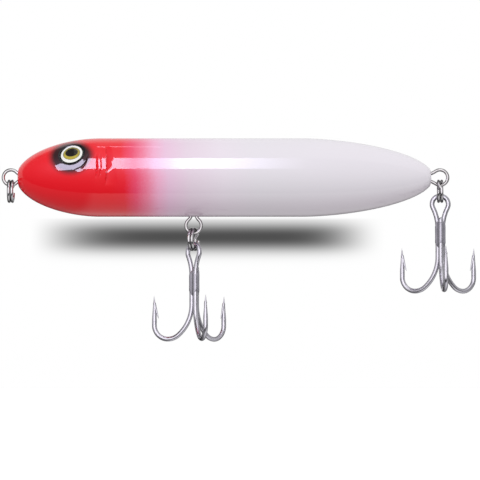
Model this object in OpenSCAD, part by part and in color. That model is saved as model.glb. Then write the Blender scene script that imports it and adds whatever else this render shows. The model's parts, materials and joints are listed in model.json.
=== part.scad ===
// Walking stickbait: a hollow two-piece plastic body with through-wire hangers,
// split rings, two brazed treble hooks, domed eyes, a tail weight and rattle balls.
//
// The origin is the centre of the line-tie loop, on the axis of the body.
// +X runs from the nose to the tail, +Z is up, and the left side faces -Y.

/* [Body] */
// Length of the plastic body, nose to tail
body_len = 114.3; // [112:0.1:120]
// Largest diameter of the body
body_d = 21.7; // [21:0.1:24]
// Length of the rounded nose
nose_len = 23; // [21:0.5:26]
// Length of the tapered tail
tail_len = 36.4; // [32:0.2:40]
// Thickness of the moulded wall
wall = 1.6; // [1.4:0.1:1.9]
// Distance from the line-tie centre back to the nose
nose_gap = 1.85; // [1.7:0.05:2]

/* [Eyes] */
// Diameter of the eye
eye_d = 6.35; // [5.5:0.05:6.8]
// Distance of the eye behind the line tie
eye_x = 17.15; // [15:0.05:18]
// Angle of the eye above the side of the head
eye_lift = 37; // [30:0.5:42]
// Angle the eye looks towards the nose
eye_lead = 11; // [5:1:15]

/* [Hangers and rings] */
// Wire of the three hangers
hanger_wire = 0.92; // [0.8:0.02:1]
// Centre-line radius of the hanger loops
loop_r = 2.12; // [2.1:0.01:2.2]
// Distance of the belly hanger behind the line tie
belly_x = 50.5; // [49:0.5:52]
// Distance of the belly loop below the body axis
belly_drop = 13.3; // [13:0.1:13.8]
// Distance of the tail loop behind the body
tail_gap = 2.45; // [2.3:0.05:2.6]
// Outside diameter of the split rings
ring_od = 6.5; // [6.2:0.1:6.8]
// Wire of the split rings
ring_wire = 0.87; // [0.8:0.01:0.9]
// Turn of the belly split ring about the vertical
belly_ring_yaw = -18; // [-19:1:-12]
// Turn of the tail split ring about the vertical
tail_ring_yaw = -4; // [-8:1:0]

/* [Treble hooks] */
// Wire of the hooks
hook_wire = 1.34; // [1.2:0.02:1.34]
// Length of a hook, top of the eye to bottom of the bends
hook_len = 27.5; // [26:0.1:29]
// Centre-line reach of each point from the shank
hook_reach = 11.5; // [10.5:0.1:12]
// Height of the points above the bottom of the bends
point_h = 12.6; // [11.5:0.1:13]
// Length of the barbed taper
taper_len = 6.2; // [5:0.1:6.5]
// Turn of the belly hook about the vertical
belly_hook_yaw = 136; // [135:1:140]
// Turn of the tail hook about the vertical
tail_hook_yaw = 3; // [0:1:10]

/* [Weight and rattle] */
// Diameter of the fixed tail weight
ballast_d = 9.5; // [9:0.1:10]
// Distance of the tail weight behind the line tie
ballast_x = 97; // [96:0.5:97.5]
// Diameter of the loose rattle balls
rattle_d = 5; // [4.5:0.1:5.2]

/* [Hidden] */

$fn = 64;
gap = 0.1;
// How far a cutting shape passes the face that it cuts.
past = 1;
body_r = body_d / 2;
nose_x = nose_gap;
tail_x = nose_x + body_len;
nose_power = 1.8;
tail_power = 1.72;
nose_blunt = 0.4;
tail_blunt = 0.7;
profile_steps = 18;

web = 1.2;
nose_block_x = 13;
front_room = [27.2, 44];
rear_room = [57.2, 80];
ballast_hole_r = 3;
ballast_reach = sqrt(pow(ballast_d / 2, 2) - pow(ballast_hole_r, 2)) + 0.02;
ballast_room = [ballast_x - ballast_reach, ballast_x + ballast_reach];
tail_block_x = 105.3;
rooms = [[nose_block_x, front_room[0] - web],
         front_room,
         [front_room[1] + web, rear_room[0] - web],
         rear_room,
         [rear_room[1] + web, ballast_room[0] - web],
         ballast_room,
         [ballast_room[1] + web, tail_block_x]];

tube_wall = 1;
tube_r = rattle_d / 2 + 0.3;
tube_z = -4.5;
peg_r = 1.1;
peg_boss_r = 2.2;
peg_len = 2;
// Each peg's distance along the body, its height, and the length of its boss.
pegs = [[22.5, -4, 7.7], [38, 4, 8.5], [68, 4, 8.5], [86.5, 3, 8.3]];

short_waist = 3;
long_waist = 8;
short_slot = 2.6;
long_slot = 3.3;
tail_loop_x = tail_x + tail_gap;
socket_depth = 0.8;
foil_t = 0.25;
dome_h = 1.3;

ring_r = (ring_od - ring_wire) / 2;
coil_pitch = ring_wire + 0.03;
joint_swell = 1.02;
ring_play = 0.16;
ring_hang = sqrt(pow(loop_r - hanger_wire / 2 - ring_wire / 2 - ring_play, 2) - pow(coil_pitch / 2, 2));
ring_drop = ring_hang + ring_r;

eye_r = 2.25;
eye_waist = 12;
bundle_r = (hook_wire + gap / 2) / sqrt(3);
shank_x = bundle_r * cos(30);
shank_y = -bundle_r * sin(30);
eye_neck = waist_reach(eye_r, eye_waist, shank_x);
hook_hang = 0.77;
hook_drop = ring_drop + ring_r + hook_hang;
hook_low = eye_r + hook_wire / 2 - hook_len;
bend_r = 3.85;
heel_r = 4.6;
bend_h = 9.5;
braze_top = 4.4;
braze_end = 12.1;
braze_r = bundle_r + 0.18;
braze_coat = 0.1;

// Radius of the body's outer skin at a distance behind the line tie.
function skin_r(x) =
    let (from_nose = x - nose_x, from_tail = tail_x - x)
    let (nose_t = max(0, 1 - (from_nose + nose_blunt) / nose_len))
    let (tail_t = max(0, 1 - (from_tail + tail_blunt) / tail_len))
    body_r * sqrt(1 - pow(nose_t, nose_power)) * sqrt(1 - pow(tail_t, tail_power));

// Distance from a loop's centre to its neck, for a loop whose wire turns back
// through a waist arc and runs half_gap off the axis at the neck.
function waist_reach(loop, waist, half_gap) =
    sqrt(pow(loop + waist, 2) - pow(half_gap + waist, 2));

// Turns the drawing's Z axis onto the body's X axis.
module along_body() {
    rotate([0, 90, 0]) children();
}

// Stands a shape drawn in the XY plane up into the XZ plane.
module upright() {
    rotate([90, 0, 0]) children();
}

// Half of the body as a solid, on the +Y side.
module half_solid() {
    nose_steps = [for (i = [0 : profile_steps]) nose_x + nose_len * (1 - cos(90 * i / profile_steps))];
    tail_steps = [for (i = [0 : profile_steps]) tail_x - tail_len * (1 - sin(90 * i / profile_steps))];
    steps = concat(nose_steps, tail_steps);
    outline = concat([[0, nose_x]], [for (x = steps) [skin_r(x), x]], [[0, tail_x]]);
    along_body() rotate_extrude(angle = 180) polygon(outline);
}

// Half of one hollow room of the body, between two distances along it.
module half_room(from, to) {
    steps = 8;
    skin = [for (i = [0 : steps]) let (x = from + (to - from) * i / steps) [skin_r(x) - wall, x]];
    outline = concat([[0, from]], skin, [[0, to]]);
    along_body() rotate_extrude(angle = 180) polygon(outline);
}

// Half of the hole through the two webs that pinch the tail weight.
module ballast_bore() {
    length = ballast_room[1] - ballast_room[0] + 2 * web + past;
    translate([ballast_x - length / 2, 0, 0])
        along_body() rotate_extrude(angle = 180) square([ballast_hole_r, length]);
}

// Half of a rattle tube that spans a room.
module half_tube(room) {
    overlap = 0.2;
    translate([room[0] - overlap, 0, tube_z])
        along_body() rotate_extrude(angle = 180)
            translate([tube_r, 0]) square([tube_wall, room[1] - room[0] + 2 * overlap]);
}

// Flat pocket for a hanger: the loop outside, the neck and the loop inside,
// around a post that the inner loop is hooked over. The hanger runs along +X.
module hanger_pocket(outer_waist, slot_w) {
    out_r = loop_r + hanger_wire / 2 + gap;
    post_r = loop_r - hanger_wire / 2 - gap;
    neck = waist_reach(loop_r, outer_waist, hanger_wire / 2);
    inner = neck + waist_reach(loop_r, short_waist, hanger_wire / 2);
    depth = hanger_wire / 2 + gap / 2;
    slot_start = 2;
    upright() translate([0, 0, -depth]) linear_extrude(depth) {
        circle(r = out_r);
        translate([slot_start, -slot_w / 2]) square([inner - post_r - slot_start, slot_w]);
        difference() {
            translate([inner, 0]) circle(r = out_r);
            translate([inner, 0]) circle(r = post_r);
        }
    }
}

// Places a shape at the left eye with +Z looking outwards.
module at_left_eye() {
    r = skin_r(eye_x);
    translate([eye_x, -r * cos(eye_lift), r * sin(eye_lift)])
        rotate([90 - eye_lift, 0, 0]) rotate([0, -eye_lead, 0]) children();
}

module eye_socket() {
    clear_of_brow = 3;
    translate([0, 0, -socket_depth]) cylinder(d = eye_d + 2 * gap, h = socket_depth + clear_of_brow);
}

// Moulded gill marks behind the eye: crescents sunk into the skin of the +Y half.
module gill_grooves() {
    floor_r = body_r - 0.5;
    cut = 2;
    groove_w = 0.7;
    raise = 15;
    crescent_start = 0.92;
    // Each groove's distance behind the line tie and its radius.
    for (gill = [[23.8, 8], [25.2, 8.2], [27.5, 8.6]])
        rotate([raise, 0, 0]) translate([gill[0] - gill[1], floor_r + cut, 0])
            upright() linear_extrude(cut) difference() {
                circle(r = gill[1]);
                circle(r = gill[1] - groove_w);
                translate([-body_d, -body_d]) square([body_d + gill[1] * crescent_start, 2 * body_d]);
            }
}

// Block inside the belly that holds the belly hanger.
module hanger_boss() {
    boss_w = 8;
    boss_t = 2.6;
    below_skin = 0.6;
    top = -1.4;
    translate([belly_x - boss_w / 2, 0, below_skin - body_r])
        cube([boss_w, boss_t, body_r - below_skin + top]);
}

// Everything the two shells share, drawn on the +Y side.
module shell_half() {
    difference() {
        union() {
            difference() {
                half_solid();
                for (room = rooms) half_room(room[0], room[1]);
                ballast_bore();
                gill_grooves();
            }
            hanger_boss();
        }
        hanger_pocket(short_waist, short_slot);
        translate([belly_x, 0, -belly_drop]) rotate([0, -90, 0]) hanger_pocket(short_waist, short_slot);
        translate([tail_loop_x, 0, 0]) rotate([0, 180, 0]) hanger_pocket(long_waist, long_slot);
        mirror([0, 1, 0]) at_left_eye() eye_socket();
    }
    half_tube(front_room);
    half_tube(rear_room);
    for (peg = pegs)
        translate([peg[0], peg[2], peg[1]]) upright() cylinder(r = peg_boss_r, h = peg[2]);
}

module shell_left() {
    color("whitesmoke") {
        mirror([0, 1, 0]) shell_half();
        for (peg = pegs)
            translate([peg[0], peg_len, peg[1]]) upright() cylinder(r = peg_r, h = peg_len + past);
    }
}

module shell_right() {
    color("whitesmoke") difference() {
        shell_half();
        for (peg = pegs)
            translate([peg[0], peg_len + gap, peg[1]])
                upright() cylinder(r = peg_r + gap / 2, h = peg_len + past);
    }
}

// Round wire bent along an arc in the XZ plane, angles counted from +X to +Z.
module wire_arc(x, z, bend, from, to, wire) {
    translate([x, 0, z]) upright() rotate([0, 0, from])
        rotate_extrude(angle = to - from) translate([bend, 0]) circle(d = wire);
}

// Blends two stretches of wire where they meet in the XZ plane. The lean turns the
// ball's poles from the Z axis to the line of the wire.
module wire_joint(x, z, wire, lean = 0) {
    translate([x, 0, z]) rotate([0, lean, 0]) sphere(d = wire * joint_swell);
}

// A wire loop around the origin that closes to a neck in the -Z direction.
module wire_loop(loop, waist, half_gap, wire) {
    neck = waist_reach(loop, waist, half_gap);
    turn = asin(neck / (loop + waist));
    wire_arc(0, 0, loop, -turn, 180 + turn, wire);
    for (side = [0, 1]) mirror([side, 0, 0]) {
        wire_arc(-half_gap - waist, -neck, waist, 0, turn, wire);
        wire_joint(-loop * cos(turn), -loop * sin(turn), wire);
        wire_joint(-half_gap, -neck, wire);
    }
}

// Figure-eight hanger with its outer loop at the origin and its inner loop below.
module hanger(outer_waist) {
    half_gap = hanger_wire / 2 + 0.02;
    neck = waist_reach(loop_r, outer_waist, half_gap);
    inner_neck = waist_reach(loop_r, short_waist, half_gap);
    color("silver") {
        wire_loop(loop_r, outer_waist, half_gap, hanger_wire);
        translate([0, 0, -neck - inner_neck]) rotate([180, 0, 0])
            wire_loop(loop_r, short_waist, half_gap, hanger_wire);
    }
}

module line_tie_hanger() {
    rotate([0, -90, 0]) hanger(short_waist);
}

module belly_hanger() {
    translate([belly_x, 0, -belly_drop]) rotate([0, 180, 0]) hanger(short_waist);
}

module tail_hanger() {
    translate([tail_loop_x, 0, 0]) rotate([0, 90, 0]) hanger(long_waist);
}

// Straight round rod between two points, blended into the wire at both ends.
module rod(from, to, wire) {
    run = to - from;
    translate(from) rotate([0, acos(run[2] / norm(run)), atan2(run[1], run[0])])
        cylinder(d = wire, h = norm(run));
    for (end = [from, to]) translate(end) sphere(d = wire * joint_swell);
}

// Split ring: two close turns joined by a short step, centred on the origin
// with its axis along X and its angles counted from +Y to +Z.
module split_ring() {
    first = 175;
    step = 34;
    clear = 12;
    low = -coil_pitch / 2;
    high = coil_pitch / 2;
    last = first + 360 - step;
    color("gainsboro") rotate([90, 0, 90]) {
        translate([0, 0, low]) rotate([0, 0, first + clear])
            rotate_extrude(angle = last - first - clear) translate([ring_r, 0]) circle(d = ring_wire);
        translate([0, 0, high]) rotate([0, 0, first])
            rotate_extrude(angle = last - first - clear) translate([ring_r, 0]) circle(d = ring_wire);
        rod([ring_r * cos(last), ring_r * sin(last), low],
            [ring_r * cos(first), ring_r * sin(first), high], ring_wire);
    }
}

module nose_split_ring() {
    translate([0, 0, -ring_drop]) rotate([0, 0, 180]) split_ring();
}

module belly_split_ring() {
    translate([belly_x, 0, -belly_drop - ring_drop]) rotate([0, 0, 180 + belly_ring_yaw]) split_ring();
}

module tail_split_ring() {
    translate([tail_loop_x, 0, -ring_drop]) rotate([0, 0, tail_ring_yaw]) split_ring();
}

// One shank, bend and barbed point, in the XZ plane with the shank near the axis.
module hook_arm(top) {
    bottom = hook_low + hook_wire / 2;
    out = hook_reach - bend_r - bundle_r;
    turn = 2 * atan((out - heel_r) / (bend_h - heel_r));
    sweep_r = heel_r + (bend_h - heel_r) / sin(turn);
    tip = hook_low + point_h;
    barb = tip - taper_len;
    translate([bundle_r, 0, bottom + bend_h]) cylinder(d = hook_wire, h = top - bottom - bend_h);
    wire_joint(bundle_r, bottom + bend_h, hook_wire);
    wire_arc(bundle_r + sweep_r, bottom + bend_h, sweep_r, 180, 180 + turn, hook_wire);
    wire_joint(bundle_r + out - heel_r * cos(turn), bottom + heel_r * (1 - sin(turn)), hook_wire);
    wire_arc(bundle_r + out, bottom + heel_r, heel_r, 180 + turn, 270, hook_wire);
    wire_joint(bundle_r + out, bottom, hook_wire, 90);
    wire_arc(bundle_r + out, bottom + bend_r, bend_r, 270, 360, hook_wire);
    wire_joint(hook_reach, bottom + bend_r, hook_wire);
    translate([hook_reach, 0, bottom + bend_r]) spear(barb - bottom - bend_r);
}

// Straight wire that ends in a long tapered point, with a barb on its inner side.
module spear(straight) {
    wire_r = hook_wire / 2;
    mid_r = wire_r * 0.66;
    tip_r = 0.05;
    mid = straight + taper_len / 2;
    tip = straight + taper_len;
    barb_lean = 20;
    barb_len = 1.9;
    rotate_extrude()
        polygon([[0, 0], [wire_r, 0], [wire_r, straight], [mid_r, mid], [tip_r, tip], [0, tip]]);
    translate([-wire_r * 1.7, 0, straight - 0.2])
        rotate([0, barb_lean, 0]) cylinder(d1 = 0.12, d2 = 0.5, h = barb_len);
}

// The two-point hook: one wire whose middle is bent into the eye.
module hook_double(x, z, yaw) {
    color("darkgray") translate([x, 0, z]) rotate([0, 0, yaw]) {
        wire_loop(eye_r, eye_waist, shank_x, hook_wire);
        for (angle = [30, 150])
            translate([0, shank_y, 0]) rotate([0, 0, angle]) hook_arm(-eye_neck);
    }
}

// The third hook, laid in the groove between the other two shanks.
module hook_single(x, z, yaw) {
    color("darkgray") translate([x, 0, z]) rotate([0, 0, yaw])
        translate([0, shank_y, 0]) rotate([0, 0, -90]) hook_arm(-braze_top);
}

// Brazing metal that coats the three shanks, fills the grooves between them and
// closes the foot of the eye.
module hook_braze(x, z, yaw) {
    web_w = 1.5;
    web_back = 0.45;
    web_front = 0.55;
    fit = 0.005;
    color("gray") translate([x, 0, z]) rotate([0, 0, yaw]) difference() {
        union() {
            translate([0, shank_y, -braze_end]) linear_extrude(braze_end - eye_neck) {
                circle(r = braze_r);
                shank_circles(braze_coat);
            }
            translate([-web_w / 2, -web_front, -eye_neck - web_back])
                cube([web_w, web_front + web_back, eye_neck + web_back - braze_top]);
        }
        translate([0, shank_y, -braze_end - past])
            linear_extrude(braze_end - eye_neck + past + gap) shank_circles(fit);
        translate([0, shank_y - bundle_r, -eye_neck])
            cylinder(d = hook_wire + 4 * fit, h = eye_neck - braze_top + past);
        wire_loop(eye_r, eye_waist, shank_x, hook_wire + 2 * fit);
    }
}

// The sections of the three shanks, grown by a margin.
module shank_circles(margin) {
    for (angle = [30, 150, 270])
        rotate([0, 0, angle]) translate([bundle_r, 0]) circle(r = hook_wire / 2 + margin);
}

module belly_hook_double() {
    hook_double(belly_x, -belly_drop - hook_drop, belly_hook_yaw);
}

module belly_hook_single() {
    hook_single(belly_x, -belly_drop - hook_drop, belly_hook_yaw);
}

module belly_hook_braze() {
    hook_braze(belly_x, -belly_drop - hook_drop, belly_hook_yaw);
}

module tail_hook_double() {
    hook_double(tail_loop_x, -hook_drop, tail_hook_yaw);
}

module tail_hook_single() {
    hook_single(tail_loop_x, -hook_drop, tail_hook_yaw);
}

module tail_hook_braze() {
    hook_braze(tail_loop_x, -hook_drop, tail_hook_yaw);
}

// Printed foil disc on the floor of the eye socket.
module eye_foil() {
    color("gold") translate([0, 0, -socket_depth]) cylinder(d = eye_d, h = foil_t);
}

// Clear domed lens over the foil.
module eye_dome() {
    dome_r = (pow(eye_d / 2, 2) + pow(dome_h, 2)) / (2 * dome_h);
    color("white", 0.4) translate([0, 0, foil_t - socket_depth]) rotate_extrude() intersection() {
        translate([0, dome_h - dome_r]) circle(r = dome_r);
        square([eye_d / 2, dome_h]);
    }
}

module eye_foil_left() {
    at_left_eye() eye_foil();
}

module eye_foil_right() {
    mirror([0, 1, 0]) at_left_eye() eye_foil();
}

module eye_dome_left() {
    at_left_eye() eye_dome();
}

module eye_dome_right() {
    mirror([0, 1, 0]) at_left_eye() eye_dome();
}

// Steel ball pinched between two webs of the shells.
module tail_ballast() {
    color("slategray") translate([ballast_x, 0, 0]) sphere(d = ballast_d);
}

// Loose steel ball on the floor of its tube, halfway along it.
module rattle_ball(room) {
    color("slategray") translate([(room[0] + room[1]) / 2, 0, tube_z - tube_r + rattle_d / 2 + 0.02])
        sphere(d = rattle_d);
}

module front_rattle_ball() {
    rattle_ball(front_room);
}

module rear_rattle_ball() {
    rattle_ball(rear_room);
}

shell_left();
shell_right();
line_tie_hanger();
belly_hanger();
tail_hanger();
nose_split_ring();
belly_split_ring();
tail_split_ring();
belly_hook_double();
belly_hook_single();
belly_hook_braze();
tail_hook_double();
tail_hook_single();
tail_hook_braze();
eye_foil_left();
eye_foil_right();
eye_dome_left();
eye_dome_right();
tail_ballast();
front_rattle_ball();
rear_rattle_ball();
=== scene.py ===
import json
import math

import bmesh
import bpy
import numpy as np
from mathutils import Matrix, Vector


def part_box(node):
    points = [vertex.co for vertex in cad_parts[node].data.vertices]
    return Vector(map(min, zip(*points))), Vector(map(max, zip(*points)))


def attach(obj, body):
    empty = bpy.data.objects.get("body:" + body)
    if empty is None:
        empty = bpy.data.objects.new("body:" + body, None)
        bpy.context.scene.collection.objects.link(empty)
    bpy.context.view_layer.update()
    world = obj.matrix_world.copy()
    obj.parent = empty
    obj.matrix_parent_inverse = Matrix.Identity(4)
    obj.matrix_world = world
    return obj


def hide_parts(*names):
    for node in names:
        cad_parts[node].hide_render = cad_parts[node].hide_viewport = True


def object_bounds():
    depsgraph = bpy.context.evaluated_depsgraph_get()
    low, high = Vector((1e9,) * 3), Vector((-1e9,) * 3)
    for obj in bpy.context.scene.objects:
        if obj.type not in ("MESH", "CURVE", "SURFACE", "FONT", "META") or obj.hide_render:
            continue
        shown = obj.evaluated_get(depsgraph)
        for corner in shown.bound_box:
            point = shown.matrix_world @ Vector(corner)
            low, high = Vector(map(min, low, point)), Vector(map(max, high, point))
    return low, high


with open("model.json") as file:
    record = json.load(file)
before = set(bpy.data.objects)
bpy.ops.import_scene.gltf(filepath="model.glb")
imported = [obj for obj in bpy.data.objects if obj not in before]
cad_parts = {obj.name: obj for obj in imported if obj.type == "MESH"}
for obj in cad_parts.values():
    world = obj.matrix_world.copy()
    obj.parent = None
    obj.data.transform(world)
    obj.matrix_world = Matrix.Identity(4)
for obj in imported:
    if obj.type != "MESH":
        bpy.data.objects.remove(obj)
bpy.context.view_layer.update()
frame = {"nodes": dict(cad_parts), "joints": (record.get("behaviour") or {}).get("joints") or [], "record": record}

# A walking stickbait: a glossy painted two-piece body, domed eyes, wire hangers,
# split rings and brazed treble hooks. Shapes are worked out in millimetres, in the
# frame's own axes: the line tie is the origin, +X runs to the tail, +Z is up and
# the left side faces -Y.
MM = 0.001

# Both sides of the lure: 1 is the left side, at -Y, and -1 the right.
SIDES = {"left": 1, "right": -1}

# ---- places

MOUNTS = {m["name"]: np.array(m["pos_m"]) / MM for m in frame["record"]["mounts"]}
JOINTS = {j["name"]: j for j in frame["joints"]}


def box_mm(node):
    """Lowest and highest corner of a CAD node, in millimetres."""
    lowest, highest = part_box(node)
    return np.array(lowest) / MM, np.array(highest) / MM


SHELL_LOW, SHELL_HIGH = box_mm("shell_left")
NOSE_X = SHELL_LOW[0]
TAIL_X = SHELL_HIGH[0]
BODY_R = SHELL_HIGH[2]
# Each end of the body tapers over a length (LEN), by a power (POWER). Its small flat face cuts
# the taper's tip short (BLUNT), and the face's edge is rounded over (ROUND).
NOSE_LEN = 23.0
NOSE_BLUNT = 0.4
NOSE_POWER = 1.8
TAIL_LEN = 36.4
TAIL_BLUNT = 0.7
TAIL_POWER = 1.72
NOSE_ROUND = 0.5
TAIL_ROUND = 0.6
# The hollow inside, from front to back, with the front faces of its webs.
WALL = 1.6
CAVITY = (13.0, 105.3)
WEB = 1.2
WEBS = (26.0, 44.0, 56.0, 80.0, 92.1, 100.7)
BALLAST_WEBS = WEBS[4:]
BALLAST_HOLE = 3.0
CLOSED_HOLE = 0.02
# Each rattle tube runs between two webs.
TUBES = ((WEBS[0] + WEB, WEBS[1]), (WEBS[2] + WEB, WEBS[3]))
TUBE_R = 2.8
TUBE_WALL = 1.0
TUBE_Z = -4.5

# An eye sits on the skin, lifted above the horizon and turned a little towards the nose.
EYE_R = 3.175
EYE_X = 17.15
EYE_LIFT = math.radians(37)
EYE_LEAD = math.radians(11)
SOCKET_DEPTH = 0.8
FOIL_T = 0.25
DOME_H = 1.3

# A loop's wires close to a neck along an arc, its waist.
HANGER_WIRE = 0.92
HANGER_GAP = 0.02
LOOP_R = 2.12
SHORT_WAIST = 3.0
LONG_WAIST = 8.0

# A split ring's step from one turn to the other ends at RING_FIRST and is RING_STEP long, in
# degrees round the ring. The wire's two ends stay RING_CLEAR away from it.
RING_WIRE = 0.87
RING_PITCH = 0.90
RING_FIRST = 175.0
RING_STEP = 34.0
RING_CLEAR = 12.0
RING_LOW, RING_HIGH = box_mm("tail_split_ring")
RING_R = (RING_HIGH[2] - RING_LOW[2] - RING_WIRE) / 2
RING_DROP = -(RING_LOW[2] + RING_HIGH[2]) / 2

HOOK_WIRE = 1.34
HOOK_EYE_R = 2.25
HOOK_WAIST = 12.0
HOOK_REACH = 11.5
HOOK_POINT_H = 12.6
HOOK_TAPER = 6.2
HOOK_LOW, HOOK_HIGH = box_mm("tail_hook_double")
HOOK_DROP = HOOK_EYE_R + HOOK_WIRE / 2 - HOOK_HIGH[2]
HOOK_BOTTOM = HOOK_LOW[2] + HOOK_DROP + HOOK_WIRE / 2
BUNDLE_R = (HOOK_WIRE + 0.05) / math.sqrt(3)
SHANK_X = BUNDLE_R * math.cos(math.radians(30))
SHANK_Y = -BUNDLE_R * math.sin(math.radians(30))
BRAZE_TOP = 4.4
BRAZE_END = 12.1
BRAZE_COAT = 0.1
# Turn of each treble about the vertical, in degrees.
BELLY_HOOK_YAW = 136
TAIL_HOOK_YAW = 3


def ring_yaw(joint):
    """Turn of a split ring about the vertical, from the hinge that runs along its wire."""
    axis = JOINTS[joint]["axis"]
    return -math.atan2(axis[0], axis[1])


# ---- mesh tools

# Points closer than this become one, in metres.
WELD = 2e-7
FINE_WELD = 2e-8

# Ends of a wire, as (radius, reach) shares of the wire's radius.
ROUND_END = [(math.cos(math.radians(a)), math.sin(math.radians(a))) for a in (22, 45, 66, 82)]
ROUND_END.append((0.0, 1.0))
FLAT_END = [(0.93, 0.07), (0.55, 0.10), (0.0, 0.10)]


def add_object(name, data):
    """Puts new data into the scene as an object."""
    made = bpy.data.objects.new(name, data)
    bpy.context.scene.collection.objects.link(made)
    return made


def build(name, parts, material, body, sharp=38):
    """Joins (vertices, faces) parts in millimetres into one piece that rides a body."""
    vertices = []
    faces = []
    for points, polygons in parts:
        start = len(vertices)
        vertices.extend(map(tuple, np.asarray(points) * MM))
        faces.extend([tuple(start + corner for corner in polygon) for polygon in polygons])
    mesh = bpy.data.meshes.new(name)
    mesh.from_pydata(vertices, [], faces)
    mesh.materials.append(material)
    grown = bmesh.new()
    grown.from_mesh(mesh)
    bmesh.ops.remove_doubles(grown, verts=grown.verts, dist=WELD)
    bmesh.ops.dissolve_degenerate(grown, edges=grown.edges, dist=WELD / 2)
    bmesh.ops.recalc_face_normals(grown, faces=grown.faces)
    grown.to_mesh(mesh)
    grown.free()
    mesh.shade_smooth()
    mesh.set_sharp_from_angle(angle=math.radians(sharp))
    piece = add_object(name, mesh)
    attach(piece, body)
    return piece


def grid_faces(rows, columns, wrap=False):
    """Quads between neighbouring rows of points."""
    faces = []
    last = columns if wrap else columns - 1
    for row in range(rows - 1):
        for column in range(last):
            beside = (column + 1) % columns
            here = row * columns
            above = here + columns
            faces.append((here + column, here + beside, above + beside, above + column))
    return faces


def sweep(path, radius, sides=18, closed=False, end=ROUND_END):
    """A round wire along a path. The radius may change along it, and open ends are capped."""
    path = np.asarray(path, float)
    count = len(path)
    radius = np.full(count, radius) if np.isscalar(radius) else np.asarray(radius, float)
    if closed:
        tangents = np.roll(path, -1, 0) - np.roll(path, 1, 0)
    else:
        tangents = np.gradient(path, axis=0)
    tangents /= np.linalg.norm(tangents, axis=1)[:, None]
    helper = np.eye(3)[np.argmin(abs(tangents[0]))]
    normal = np.cross(tangents[0], helper)
    normals = [normal / np.linalg.norm(normal)]
    for k in range(1, count):
        moved = normals[-1] - tangents[k] * (normals[-1] @ tangents[k])
        normals.append(moved / np.linalg.norm(moved))
    normals = np.array(normals)
    binormals = np.cross(tangents, normals)
    turn = np.linspace(0, 2 * math.pi, sides, endpoint=False)
    circle = np.stack([np.cos(turn), np.sin(turn)], 1)

    def ring(k, size, ahead=0.0):
        across = circle[:, :1] * normals[k] + circle[:, 1:] * binormals[k]
        return path[k] + tangents[k] * ahead + across * size

    rings = [ring(k, radius[k]) for k in range(count)]
    if closed:
        rings.append(rings[0])
        return np.concatenate(rings), grid_faces(count + 1, sides, wrap=True)
    before = [ring(0, radius[0] * size, -radius[0] * reach) for size, reach in end]
    after = [ring(count - 1, radius[-1] * size, radius[-1] * reach) for size, reach in end]
    rings = before[::-1] + rings + after
    return np.concatenate(rings), grid_faces(len(rings), sides, wrap=True)


def lathe(profile, place, segments=96):
    """Turns (radius, height) points about a local Z axis. place is a centre and three axes."""
    centre, x_axis, y_axis, z_axis = place
    turn = np.linspace(0, 2 * math.pi, segments, endpoint=False)
    rows = []
    for r, height in profile:
        around = np.cos(turn)[:, None] * x_axis + np.sin(turn)[:, None] * y_axis
        rows.append(centre + r * around + height * z_axis)
    return np.concatenate(rows), grid_faces(len(rows), segments, wrap=True)


def half_lathe(outline, centre_z, y_side, segments=24):
    """Turns a closed (x, radius) outline half a turn about a line along X, on one side."""
    turn = np.linspace(-90, 90, segments + 1) * math.pi / 180
    rows = []
    for angle in turn:
        across = y_side * math.cos(angle)
        up = math.sin(angle)
        rows.extend([(x, r * across, centre_z + r * up) for x, r in outline])
    size = len(outline)
    faces = grid_faces(len(turn), size, wrap=True)
    faces.append(tuple(range(size)))
    faces.append(tuple(range(len(rows) - size, len(rows))))
    return np.array(rows), faces


def steps(start, end, step):
    """Evenly spaced places from start up to, but not at, end."""
    count = max(1, round((end - start) / step))
    return np.linspace(start, end, count, endpoint=False)


def arc(centre, radius, start, end, step=6):
    """Points of an arc in a plane, with angles in degrees."""
    count = max(2, int(abs(end - start) / step) + 1)
    angles = np.radians(np.linspace(start, end, count))
    return [(centre[0] + radius * math.cos(a), centre[1] + radius * math.sin(a)) for a in angles]


# ---- shader tools


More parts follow.
